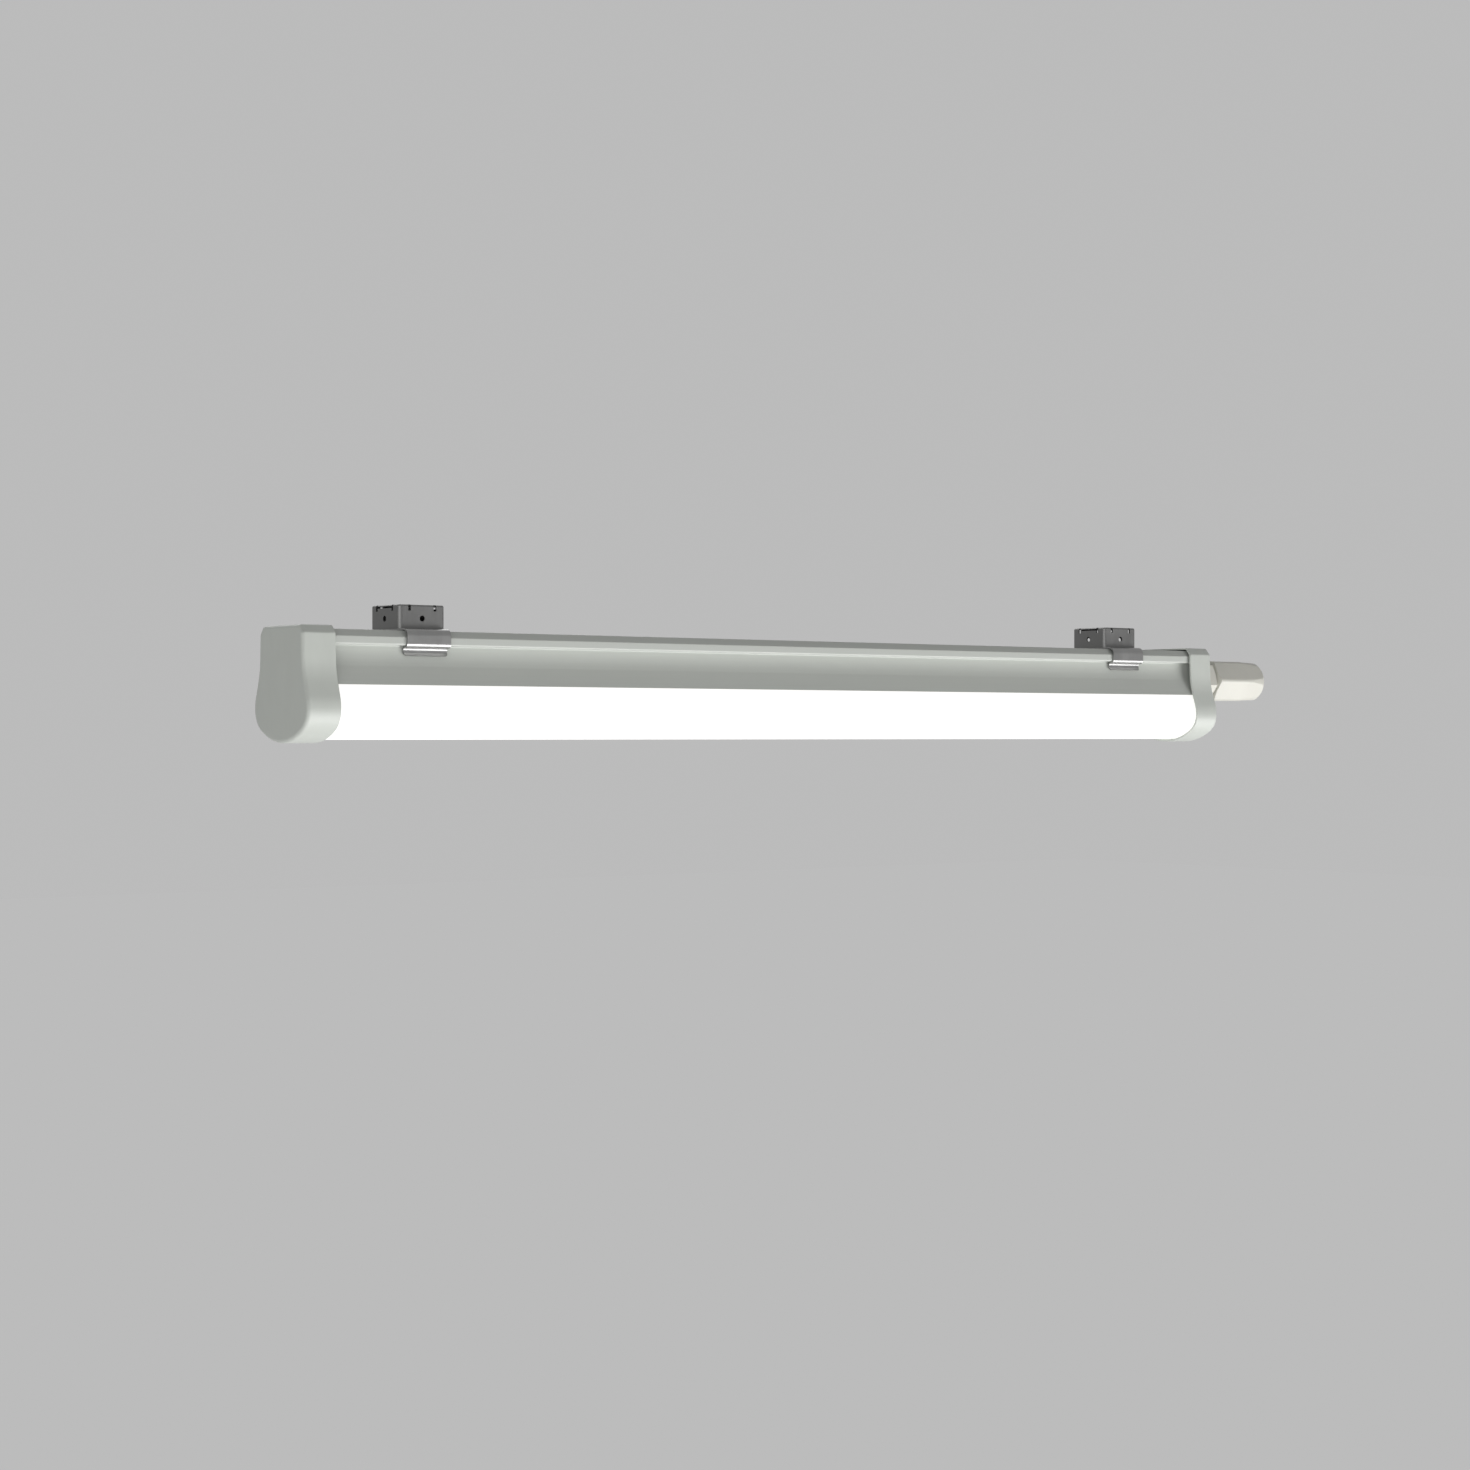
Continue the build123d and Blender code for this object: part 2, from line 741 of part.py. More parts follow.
def driver_capacitors():
    """Round capacitors that stand on the driver's board, with a rolled rim."""
    cans = []
    for share in capacitor_shares:
        x = driver_middle + share * driver_length / 2
        top = driver_board_top + driver_room * capacitor_height_share
        can = post(x, 0, capacitor_radius, driver_board_top, top)
        dish = post(x, 0, capacitor_radius - capacitor_rim_depth, top - capacitor_rim_depth, top + overrun)
        cans.append(can - dish)
    return Compound(cans)


def driver_screws():
    """Screws through the driver's feet."""
    seat = tray_top + driver_foot_thickness
    return Compound([small_screw(x, y, seat, tray_height) for x, y in driver_screw_spots()])


pole_places = {"live": -pole_pitch, "earth": 0, "neutral": pole_pitch}


def terminal_block():
    """Three-pole block with an entry at each end and a pocket for each button."""
    half = terminal_half_width
    low = terminal_place
    high = terminal_far_end
    body = block(low, high, -half, half, tray_top, terminal_top)
    body = chamfer(body.edges().filter_by(Axis.Y).group_by(Axis.Z)[-1], terminal_edge_chamfer)
    for y in pole_places.values():
        mains_level = tray_top + mains_entry_height
        body = body - bar_x(y, mains_level, mains_entry_radius, high - mains_entry_depth, high + overrun)
        body = body - bar_x(y, core_level, core_radius + core_gap, low - overrun, low + core_entry_depth)
        half_x = button_length / 2 + part_gap
        half_y = button_width / 2 + part_gap
        pocket_floor = terminal_top - button_pocket_depth
        body = body - block(button_x - half_x, button_x + half_x, y - half_y, y + half_y,
                            pocket_floor, terminal_top + overrun)
    sink = terminal_top - small_screw_head_height
    body = body - post(terminal_screw_x, 0, small_screw_radius + part_gap, tray_top - overrun, terminal_top)
    return body - post(terminal_screw_x, 0, small_screw_head_radius + part_gap, sink, terminal_top + overrun)


def release_button(y):
    """Sprung button in the top of the terminal block, with a pressed-in dish."""
    half_x = button_length / 2
    half_y = button_width / 2
    low = terminal_top - button_pocket_depth + button_rest_gap
    button = block(button_x - half_x, button_x + half_x, y - half_y, y + half_y, low, low + button_height)
    dish = Pos(button_x, y, low + button_height + button_width) * Sphere(button_width + part_gap * 2)
    return button - dish


def terminal_screw():
    """Screw through the middle of the terminal block, behind the earth entry."""
    return small_screw(terminal_screw_x, 0, terminal_top - small_screw_head_height, tray_height)


def core_wire(y):
    """Straight mains core from the terminal block to the driver."""
    end = terminal_place + core_entry_depth
    return bar_x(y, core_level, core_radius, driver_far_end - driver_wall, end)


def output_wire(side):
    """Wire that leaves the driver and turns down round the tray's end to the board."""
    y = side * output_wire_spread
    start = driver_end_place + driver_wall
    turn_radius = (output_wire_level - connector_level) / 2
    turn_x = -tube_end + output_wire_end_gap
    stop = -board_end + board_end_gap + connector_depth
    start_point = (start, y, output_wire_level)
    turn_start = (turn_x, y, output_wire_level)
    turn_middle = (turn_x - turn_radius, y, (output_wire_level + connector_level) / 2)
    turn_end = (turn_x, y, connector_level)
    stop_point = (stop, y, connector_level)
    path = Wire([
        Line(start_point, turn_start),
        ThreePointArc(turn_start, turn_middle, turn_end),
        Line(turn_end, stop_point),
    ])
    section = Plane(origin=start_point, z_dir=(-1, 0, 0)) * Circle(output_wire_radius)
    return sweep(section, path=path)


def wire_clip_places():
    """Places of the saddles between the driver and the earth lug."""
    return [driver_far_end + share * (lug_place - driver_far_end) for share in wire_clip_shares]


def wire_clips():
    """Saddles that hold the two mains cores, each with a peg in the tray."""
    clips = []
    for x in wire_clip_places():
        half_x = wire_clip_length / 2
        half_y = pole_pitch + core_radius + wire_clip_wall
        top = core_level + core_radius + wire_clip_wall
        clip = block(x - half_x, x + half_x, -half_y, half_y, tray_top, top)
        for side in (-1, 1):
            y = side * pole_pitch
            clip = clip - bar_x(y, core_level, core_radius + core_gap, x - half_x - overrun, x + half_x + overrun)
        clips.append(clip + post(x, 0, small_screw_radius, tray_height, tray_top))
    return Compound(clips)


lug_top = tray_top + lug_thickness
barrel_radius = core_radius + lug_barrel_wall
barrel_level = tray_top + barrel_radius
barrel_start = lug_place + lug_ring_radius
barrel_end = barrel_start + lug_barrel_length


def earth_lug():
    """Ring on the tray with a barrel for the earth core."""
    ring = post(lug_place, 0, lug_ring_radius, tray_top, lug_top)
    neck = block(lug_place, barrel_start + lug_thickness, -barrel_radius, barrel_radius, tray_top, lug_top)
    barrel = bar_x(0, barrel_level, barrel_radius, barrel_start, barrel_end)
    hole = post(lug_place, 0, earth_screw_radius + part_gap, tray_top - overrun, lug_top + overrun)
    bore = bar_x(0, barrel_level, core_radius + core_gap, barrel_start + lug_thickness, barrel_end + overrun)
    return ring + neck + barrel - hole - bore


def earth_screw():
    """Screw that bonds the lug to the tray."""
    return pan_screw(lug_place, 0, lug_top, tray_height,
                     earth_screw_radius, earth_screw_head_radius, earth_screw_head_height)


def earth_wire():
    """Core from the lug's barrel up to the middle pole of the terminal block."""
    start = (barrel_start + lug_thickness, 0, barrel_level)
    low_bend = (barrel_end + earth_wire_lead, 0, barrel_level)
    high_bend = (terminal_place - earth_wire_lead, 0, core_level)
    stop = (terminal_place + core_entry_depth, 0, core_level)
    path = FilletPolyline(start, low_bend, high_bend, stop, radius=earth_wire_bend_radius)
    section = Plane(origin=start, z_dir=(1, 0, 0)) * Circle(core_radius)
    return sweep(section, path=path)


def gland_body():
    """Gland moulding: entry thread, flange, hexagonal collar, nut thread and slotted fingers."""
    passage = cable_passage_radius
    seat = insert_radius + insert_seat_gap
    seat_start = finger_end - insert_length
    entry_start = half_length - cap_face_wall - entry_thread_length
    finger_tip = nut_thread_radius - finger_taper - part_gap
    outline = [
        (entry_start, passage),
        *thread_crests(entry_start, gland_root, entry_thread_radius),
        (gland_root, gland_flange_radius),
        (collar_start, gland_flange_radius),
        (collar_start, nut_thread_radius),
        (collar_end, nut_thread_radius - thread_depth),
        *thread_crests(collar_end + thread_pitch / 2, finger_start, nut_thread_radius),
        (finger_start, nut_thread_radius - part_gap),
        (finger_end, finger_tip),
        (finger_end, seat),
        (seat_start, seat),
        (seat_start, passage),
    ]
    body = turned(outline)
    collar = hexagon_bar(collar_across_flats, collar_start, collar_end, collar_turn)
    corner = collar_across_flats / math.sqrt(3)
    envelope = turned([
        (collar_start, 0),
        (collar_start, corner),
        (collar_end - nut_chamfer / 2, corner),
        (collar_end, corner - nut_chamfer),
        (collar_end, 0),
    ])
    bore = bar_x(0, gland_height, passage, collar_start - overrun, collar_end + overrun)
    body = body + (collar & envelope) - bore
    for index in range(finger_count):
        slot = block(finger_start, finger_end + overrun, -finger_slot_width / 2, finger_slot_width / 2,
                     insert_bore_radius, nut_thread_radius + overrun)
        body = body - Pos(0, 0, gland_height) * Rot(index * 360 / finger_count, 0, 0) * slot
    return body


def gland_washer():
    """Flat seal between the cap's face and the gland's flange."""
    ring = bar_x(0, gland_height, gland_washer_radius, half_length, gland_root)
    return ring - bar_x(0, gland_height, entry_thread_radius + part_gap, half_length - overrun, gland_root + overrun)


def gland_locknut():
    """Hexagonal nut inside the cap that holds the gland."""
    start = cap_floor - locknut_thickness
    nut = hexagon_bar(locknut_across_flats, start, cap_floor)
    return nut - bar_x(0, gland_height, entry_thread_radius + part_gap / 2, start - overrun, cap_floor + overrun)


def gland_insert():
    """Rubber sleeve that the fingers squeeze on the cable."""
    start = finger_end - insert_length
    sleeve = bar_x(0, gland_height, insert_radius, start, finger_end)
    return sleeve - bar_x(0, gland_height, insert_bore_radius, start - overrun, finger_end + overrun)


def gland_slip_ring():
    """Thin ring that keeps the turning nut from dragging the sleeve round."""
    end = slip_ring_start + slip_ring_thickness
    outer = nut_thread_radius - part_gap
    ring = bar_x(0, gland_height, outer, slip_ring_start, end)
    return ring - bar_x(0, gland_height, slip_ring_bore_radius, slip_ring_start - overrun, end + overrun)


def gland_cap_nut():
    """Long nut, hexagonal where it is gripped, with a nose that narrows and rounds off towards its open end."""
    corner = nut_across_flats / math.sqrt(3)
    nose_start = nut_start + nut_hex_length
    hexagon = hexagon_bar(nut_across_flats, nut_start, nose_start)
    hexagon = fillet(hexagon.edges().filter_by(Axis.X), nut_corner_radius)
    envelope = turned([
        (nut_start, 0),
        (nut_start, corner - nut_chamfer),
        (nut_start + nut_chamfer / 2, corner),
        (nose_start, corner),
        (nose_start, 0),
    ])
    nose_reach = nut_across_flats / 2 - nut_nose_step
    nose = loft([
        Plane(origin=(place, 0, gland_height), x_dir=(0, 1, 0), z_dir=(1, 0, 0))
        * RegularPolygon(reach, 6, major_radius=False)
        for place, reach in ((nose_start, nose_reach), (nut_end, nose_reach - nut_nose_draft))
    ], ruled=True)
    nose = fillet([edge for edge in nose.edges() if nose_start < edge.center().X < nut_end], nut_nose_corner_radius)
    cone = turned([(nose_start, 0), (nose_start, nut_nose_root_radius), (nut_end, nut_nose_tip_radius), (nut_end, 0)])
    cone = fillet(cone.edges().sort_by(Axis.X)[-1], nut_nose_edge_radius)
    thread_bore = nut_thread_radius + nut_thread_gap
    hollow = turned([
        (nut_start - overrun, 0),
        (nut_start - overrun, thread_bore),
        (nut_shoulder, thread_bore),
        (nut_shoulder, nut_nose_bore_radius),
        (nut_end - nut_nose_bore_flare, nut_nose_bore_radius),
        (nut_end, nut_nose_bore_radius + nut_nose_bore_flare),
        (nut_end + overrun, nut_nose_bore_radius + nut_nose_bore_flare),
        (nut_end + overrun, 0),
    ])
    return (hexagon & envelope) + (nose & cone) - hollow


def rivet_places(centre):
    """Places of the two rivets that join a bracket to its clip."""
    step = bracket_width / 2 - rivet_inset
    return [centre - step, centre + step]


def spring_clip(centre):
    """Strap over the housing whose legs hook under the rails."""
    half = clip_thickness / 2
    leg = rail_half_width + seat_gap + half
    lip = neck_half_width + clip_lip_gap + half
    level = strap_top - half
    hook = rail_bottom_height - seat_gap - half
    kick_start = clip_lip_end_height + clip_lip_kick_height
    chain = mirrored([
        (lip + clip_lip_kick, clip_lip_end_height),
        (lip, kick_start),
        (lip, hook),
        (leg, hook),
        (leg, level),
    ])
    lip_bend = clip_low_bend_radius
    bends = [lip_bend, lip_bend, clip_low_bend_radius, clip_top_bend_radius]
    strap = along_x(bent_sheet(chain, bends + bends[::-1], clip_thickness),
                    centre - clip_width / 2, centre + clip_width / 2)
    corner = clip_lip_corner_radius
    low = clip_lip_end_height - half
    high = strap_top + corner + overrun
    side_view = Pos(centre, (low + high) / 2) * RectangleRounded(clip_width, high - low, corner)
    width = leg + overrun
    frame = extrude(Plane.XZ.offset(-width) * side_view, 2 * width, dir=(0, -1, 0))
    strap = strap & frame
    strap = strap - post(centre, 0, clip_access_radius, strap_underside - overrun, strap_top + overrun)
    for x in rivet_places(centre):
        strap = strap - rivet_shank(x, part_gap / 2)
    return strap


def rivet_shank(x, growth):
    """Shank of a rivet with its countersunk foot in the strap."""
    wide = rivet_radius + rivet_foot_depth + growth
    foot_middle = strap_underside + rivet_foot_depth / 2
    foot = Pos(x, 0, foot_middle) * Cone(wide, rivet_radius + growth, rivet_foot_depth)
    shank_top = strap_top + bracket_thickness
    return foot + post(x, 0, rivet_radius + growth, strap_underside, shank_top)


def clip_rivets(centre):
    """Two countersunk rivets with round heads inside the bracket."""
    seat = strap_top + bracket_thickness
    rivets = []
    for x in rivet_places(centre):
        head = post(x, 0, rivet_head_radius, seat, seat + rivet_head_height)
        head = fillet(head.edges().sort_by(Axis.Z)[-1], rivet_head_height / 2)
        rivets.append(rivet_shank(x, 0) + head)
    return Compound(rivets)


def ceiling_bracket(centre):
    """Square bent-sheet spacer, open below, with a hole in each side."""
    half = bracket_width / 2
    wall = bracket_thickness
    top = fitting_drop
    low = strap_top
    tall = top - low
    outer = Pos(centre, 0, low) * extrude(
        RectangleRounded(bracket_width, bracket_width, bracket_corner_radius), tall)
    outer = fillet(outer.faces().sort_by(Axis.Z)[-1].edges(), bracket_top_bend_radius)
    hollow_width = bracket_width - 2 * wall
    hollow = Pos(centre, 0, low - overrun) * extrude(
        RectangleRounded(hollow_width, hollow_width, bracket_corner_radius - wall), tall - wall + overrun)
    shell = outer - hollow
    for side in (-1, 1):
        near, far = sorted((side * (half - wall), side * (half - bracket_foot_length)))
        foot_half = bracket_foot_width / 2
        shell = shell + block(centre + near, centre + far, -foot_half, foot_half, low, low + wall)
    step = bracket_tab_width / 2
    half_notch = bracket_notch_width / 2
    notch_low = top - bracket_notch_depth
    inner = half - wall - half_notch
    for along in (-step, step):
        for side in (-1, 1):
            near, far = sorted((side * inner, side * (half + overrun)))
            shell = shell - block(centre + along - half_notch, centre + along + half_notch,
                                  near, far, notch_low, top + overrun)
            shell = shell - block(centre + near, centre + far,
                                  along - half_notch, along + half_notch, notch_low, top + overrun)
    slot_top = top - wall
    slot_low = slot_top - bracket_slot_height
    for side in (-1, 1):
        near, far = sorted((side * (half - wall - part_gap), side * (half + overrun)))
        shell = shell - block(centre + near, centre + far, -step, step, slot_low, slot_top)
    level = low + side_hole_height
    shell = shell - bar_x(0, level, side_hole_radius, centre - half - overrun, centre + half + overrun)
    shell = shell - bar_y(centre, level, side_hole_radius, -half - overrun, half + overrun)
    shell = shell - post(centre, 0, fixing_hole_radius, top - wall - overrun, top + overrun)
    for x in rivet_places(centre):
        shell = shell - post(x, 0, rivet_radius + part_gap / 2, low - overrun, low + wall + overrun)
    return shell


left_place, right_place = clip_places
nodes = {
    "housing_extrusion": housing_extrusion(),
    "diffuser": diffuser(),
    "left_end_cap": left_end_cap(),
    "right_end_cap": right_end_cap(),
    "left_end_gasket": left_end_gasket(),
    "right_end_gasket": left_end_gasket().mirror(Plane.YZ),
    "gear_tray": gear_tray(),
    "led_board": led_board(),
    "led_chips": led_chips(),
    "board_screws": board_screws(),
    "board_connector": board_connector(),
    "driver_case": driver_case(),
    "driver_cover": driver_cover(),
    "driver_board": driver_board(),
    "driver_transformer": driver_transformer(),
    "driver_capacitors": driver_capacitors(),
    "driver_screws": driver_screws(),
    "terminal_block": terminal_block(),
    "terminal_screw": terminal_screw(),
    "live_wire": core_wire(pole_places["live"]),
    "neutral_wire": core_wire(pole_places["neutral"]),
    "earth_wire": earth_wire(),
    "earth_lug": earth_lug(),
    "earth_screw": earth_screw(),
    "led_positive_wire": output_wire(1),
    "led_negative_wire": output_wire(-1),
    "wire_clips": wire_clips(),
    "gland_body": gland_body(),
    "gland_washer": gland_washer(),
    "gland_locknut": gland_locknut(),
    "gland_insert": gland_insert(),
    "gland_slip_ring": gland_slip_ring(),
    "gland_cap_nut": gland_cap_nut(),
    "left_ceiling_bracket": ceiling_bracket(left_place),
    "right_ceiling_bracket": ceiling_bracket(right_place),
    "left_spring_clip": spring_clip(left_place),
    "right_spring_clip": spring_clip(right_place),
    "left_clip_rivets": clip_rivets(left_place),
    "right_clip_rivets": clip_rivets(right_place),
}
for pole, y in pole_places.items():
    nodes[pole + "_release_button"] = release_button(y)

os.makedirs("parts", exist_ok=True)
for name, shape in nodes.items():
    export_step(Pos(0, 0, -fitting_drop) * shape, os.path.join("parts", name + ".step"))
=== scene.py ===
import math

import bpy
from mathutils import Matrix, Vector

# Vapor tight light fitting: finishes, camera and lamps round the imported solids.
# Places are in metres, and a grain's fineness is in waves per metre.

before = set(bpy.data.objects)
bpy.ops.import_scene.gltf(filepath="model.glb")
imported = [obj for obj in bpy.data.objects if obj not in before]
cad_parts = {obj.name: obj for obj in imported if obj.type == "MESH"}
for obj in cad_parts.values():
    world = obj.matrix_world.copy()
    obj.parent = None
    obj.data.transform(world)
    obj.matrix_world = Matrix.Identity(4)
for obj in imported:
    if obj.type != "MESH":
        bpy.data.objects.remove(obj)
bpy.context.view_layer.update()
scene = bpy.context.scene
scene.view_settings.view_transform = "Standard"

# Camera to the left and in front of the fitting, level with its underside
level_pitch = math.radians(90)
turn_to_right = math.radians(-38.22)
lens = bpy.data.cameras.new("camera")
lens.sensor_width = 36.0
lens.lens = 69.80
lens.clip_end = 200.0
camera = bpy.data.objects.new("camera", lens)
camera.location = (-1.0191, -1.2442, -0.0659)
camera.rotation_euler = (level_pitch, 0, turn_to_right)
scene.collection.objects.link(camera)
scene.camera = camera

# A noise runs from nought to one, round this middle
noise_middle = 0.5

# The two colours that go into a colour Mix node, and the one that comes out
mix_low, mix_high, mix_result = 6, 7, 2

# Refractive index of the plastics and the rubber
plastic_index = 1.5


class Wire:
    """A shader socket that sums can be written with."""

    def __init__(self, board, socket):
        self.board = board
        self.socket = socket

    def sum(self, operation, first, second, clamp=False):
        return self.board.node("ShaderNodeMath", {"operation": operation, "use_clamp": clamp},
                               {0: first, 1: second})

    def __add__(self, other):
        return self.sum("ADD", self, other)

    def __radd__(self, other):
        return self.sum("ADD", other, self)

    def __sub__(self, other):
        return self.sum("SUBTRACT", self, other)

    def __rsub__(self, other):
        return self.sum("SUBTRACT", other, self)

    def __mul__(self, other):
        return self.sum("MULTIPLY", self, other)

    def __rmul__(self, other):
        return self.sum("MULTIPLY", other, self)

    def larger(self, other):
        return self.sum("MAXIMUM", self, other)

    def held(self):
        """Held between nought and one."""
        return self.sum("ADD", self, 0.0, clamp=True)

    def swing(self, strength):
        """A noise moved to swing about nought, as far as its strength."""
        return (self - noise_middle) * strength

    def rise(self, start, run):
        """Nought at the start and one a run further on, or back where the run is negative."""
        return ((self - start) * (1 / run)).held()


class Board:
    """The nodes of one material, or of the surroundings."""

    def __init__(self, tree):
        self.tree = tree
        self.tree.nodes.clear()

    def join(self, value, slot):
        """Puts a wire, a number, a triple or a colour on a socket."""
        if isinstance(value, Wire):
            self.tree.links.new(value.socket, slot)
        elif slot.type == "RGBA":
            slot.default_value = (*value, 1.0)
        else:
            slot.default_value = value

    def node(self, kind, settings=None, sockets=None, out=0):
        """Any node: its type, its settings, and what goes on its sockets."""
        made = self.tree.nodes.new(kind)
        for key, value in (settings or {}).items():
            setattr(made, key, value)
        for key, value in (sockets or {}).items():
            self.join(value, made.inputs[key])
        return Wire(self, made.outputs[out]) if made.outputs else None

    def blend(self, share, low, high):
        """Colour that runs from the low one to the high one."""
        return self.node("ShaderNodeMix", {"data_type": "RGBA"},
                         {0: share, mix_low: low, mix_high: high}, out=mix_result)

    def seen(self):
        """One for rays that see a thing straight, in a gloss or through glass, else nought."""
        straight, gloss, clear = [
            self.node("ShaderNodeLightPath", out=name)
            for name in ("Is Camera Ray", "Is Glossy Ray", "Is Transmission Ray")]
        return straight.larger(gloss).larger(clear)


class Finish(Board):
    """A material while it is made up, with places read on the piece itself."""

    def __init__(self, name):
        self.material = bpy.data.materials.new(name)
        self.material.use_nodes = True
        super().__init__(self.material.node_tree)
        self.place = self.node("ShaderNodeTexCoord", out="Object")

    def grain(self, per_metre, detail=2.0, roughness=0.5):
        """Noise with its own fineness along X, Y and Z."""
        stretched = self.node("ShaderNodeVectorMath", {"operation": "MULTIPLY"},
                              {0: self.place, 1: per_metre})
        return self.node("ShaderNodeTexNoise", None, {
            "Vector": stretched, "Scale": 1.0, "Detail": detail, "Roughness": roughness})

    def even_grain(self, per_metre, detail=3.0):
        """Noise with one fineness every way."""
        return self.grain((per_metre, per_metre, per_metre), detail)

    def along(self, letter):
        return self.node("ShaderNodeSeparateXYZ", None, {0: self.place}, out=letter)

    def relief(self, height, depth):
        return self.node("ShaderNodeBump", None, {"Height": height, "Distance": depth})

    def shaded(self, share, color, least, most):
        """The colour, toned from the least to the most as the share grows."""
        return self.blend(share, toned(color, least), toned(color, most))

    def coat(self, **sockets):
        """The shader itself, with its sockets by name."""
        return self.node("ShaderNodeBsdfPrincipled", None,
                         {key.replace("_", " "): value for key, value in sockets.items()})

    def done(self, shader):
        self.node("ShaderNodeOutputMaterial", None, {"Surface": shader})
        return self

    def dress(self, *names):
        """Puts the material on all of each named piece."""
        for name in names:
            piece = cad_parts[name]
            if not piece.material_slots:
                piece.data.materials.append(self.material)
            for slot in piece.material_slots:
                slot.material = self.material


def toned(color, share):
    """The colour made darker or lighter."""
    return tuple(part * share for part in color)


def moulded(name, color, gloss=0.4, spread=0.04, texture=0.00002):
    """Moulded plastic: faint flow clouds and the fine grain of a spark-eroded mould."""
    finish = Finish(name)
    clouds = finish.even_grain(35.0)
    flow = finish.grain((160.0, 160.0, 45.0))
    pits = finish.even_grain(2200.0, detail=1.0)
    share = clouds.swing(1.3) + flow.swing(0.7) + pits.swing(0.5) + noise_middle
    return finish.done(finish.coat(
        Base_Color=finish.shaded(share.held(), color, 1 - spread, 1 + spread),
        Roughness=gloss + clouds.swing(0.12) + pits.swing(0.14),
        IOR=plastic_index, Normal=finish.relief(pits, texture)))


def extruded(name, color, gloss=0.38):
    """Extruded plastic: die lines run the whole length under a satin skin."""
    finish = Finish(name)
    lines = finish.grain((0.8, 1400.0, 1400.0), detail=3.0, roughness=0.65)
    bands = finish.grain((0.5, 190.0, 190.0))
    clouds = finish.grain((7.0, 40.0, 40.0), detail=3.0)
    share = lines.swing(0.8) + bands.swing(0.6) + clouds.swing(0.9) + noise_middle
    return finish.done(finish.coat(
        Base_Color=finish.shaded(share.held(), color, 0.965, 1.035),
        Roughness=gloss + lines.swing(0.16) + clouds.swing(0.1),
        IOR=plastic_index, Normal=finish.relief(lines, 0.000015)))


def rolled(name, color, per_metre, gloss):
    """Rolled stainless sheet: long hair-fine streaks under soft clouds."""
    finish = Finish(name)
    streaks = finish.grain(per_metre, detail=4.0, roughness=0.7)
    clouds = finish.even_grain(120.0)
    share = streaks.swing(0.9) + clouds.swing(1.1) + noise_middle
    return finish.done(finish.coat(
        Base_Color=finish.shaded(share.held(), color, 0.9, 1.1), Metallic=1.0,
        Roughness=gloss + streaks.swing(0.16) + clouds.swing(0.14),
        Normal=finish.relief(streaks, 0.000004)))


def plated(name, color, gloss=0.27):
    """Plated metal with small tumbling marks."""
    finish = Finish(name)
    marks = finish.even_grain(650.0)
    return finish.done(finish.coat(
        Base_Color=finish.shaded(marks, color, 0.88, 1.1), Metallic=1.0,
        Roughness=gloss + marks.swing(0.25), Normal=finish.relief(marks, 0.00001)))


def sheathed(name, color, other_side=None, gloss=0.35):
    """Drawn insulation of a wire: fine lines along it, and a second colour on a side if given."""
    finish = Finish(name)
    drawn = finish.grain((50.0, 900.0, 900.0))
    if other_side:
        side = finish.along("Y").rise(start=-0.0002, run=0.00005)
        shown = finish.blend(side, color, other_side)
    else:
        shown = finish.shaded(drawn, color, 0.88, 1.12)
    return finish.done(finish.coat(
        Base_Color=shown, Roughness=gloss + drawn.swing(0.15),
        IOR=plastic_index, Normal=finish.relief(drawn, 0.00002)))


def cured(name, color, gloss=0.75):
    """Rubber: matt, with a faint pale bloom and a fine grit."""
    finish = Finish(name)
    bloom = finish.even_grain(150.0)
    grit = finish.even_grain(2400.0, detail=1.0)
    return finish.done(finish.coat(
        Base_Color=finish.shaded(bloom, color, 0.75, 1.5),
        Roughness=gloss + bloom.swing(0.15),
        IOR=plastic_index, Normal=finish.relief(grit, 0.00003)))


def lit_opal(name, haze_colors, shaded_and_lit_glow, strength, gloss=0.42):
    """Opal plastic lit from behind: hazy, drawn in fine lines, with painted shade at its upper
    lip, where the glow turns dimmer and warmer by the joint with the housing.
    """
    joint_shade_edge, joint_shade_run = -0.040, -0.005
    finish = Finish(name)
    haze = finish.grain((6.0, 150.0, 150.0), detail=3.0)
    lines = finish.grain((0.8, 1200.0, 1200.0))
    # Painted shade: above the joint with the housing the glow falls to its dimmer, warmer first
    # colour
    clear_of_joint_shade = finish.along("Z").rise(joint_shade_edge, joint_shade_run)
    glow = (clear_of_joint_shade * 0.85 + haze * 0.15).held()
    return finish.done(finish.coat(
        Base_Color=finish.blend(haze, *haze_colors),
        Emission_Color=finish.blend(glow, *shaded_and_lit_glow), Emission_Strength=strength,
        Roughness=gloss + lines.swing(0.12),
        IOR=plastic_index, Normal=finish.relief(lines, 0.00001)))


# Outside
housing_grey = (0.545, 0.565, 0.53)
cap_grey = (0.575, 0.60, 0.56)
nut_white = (0.66, 0.65, 0.59)
# Painted light: the collar and locknut take a lighter copy of the nut's nylon, for the collar
# that sits in shade beside the end cap
collar_white_painted_lit = toned(nut_white, 1.08)
# Painted reflection: the stainless is given a dark colour that stands for the dark surroundings
# it reflects, well below the metal's own pale tone
stainless = (0.24, 0.24, 0.237)
# Painted shade and painted sheen: the brackets take a darker copy of the stainless and the clips
# a lighter copy, standing for how light falls on them
bracket_steel_painted_shade = toned(stainless, 0.85)
clip_steel_painted_sheen = toned(stainless, 1.4)

# Across and along the streaks that rolling leaves on a sheet
fine, long = 1100.0, 25.0

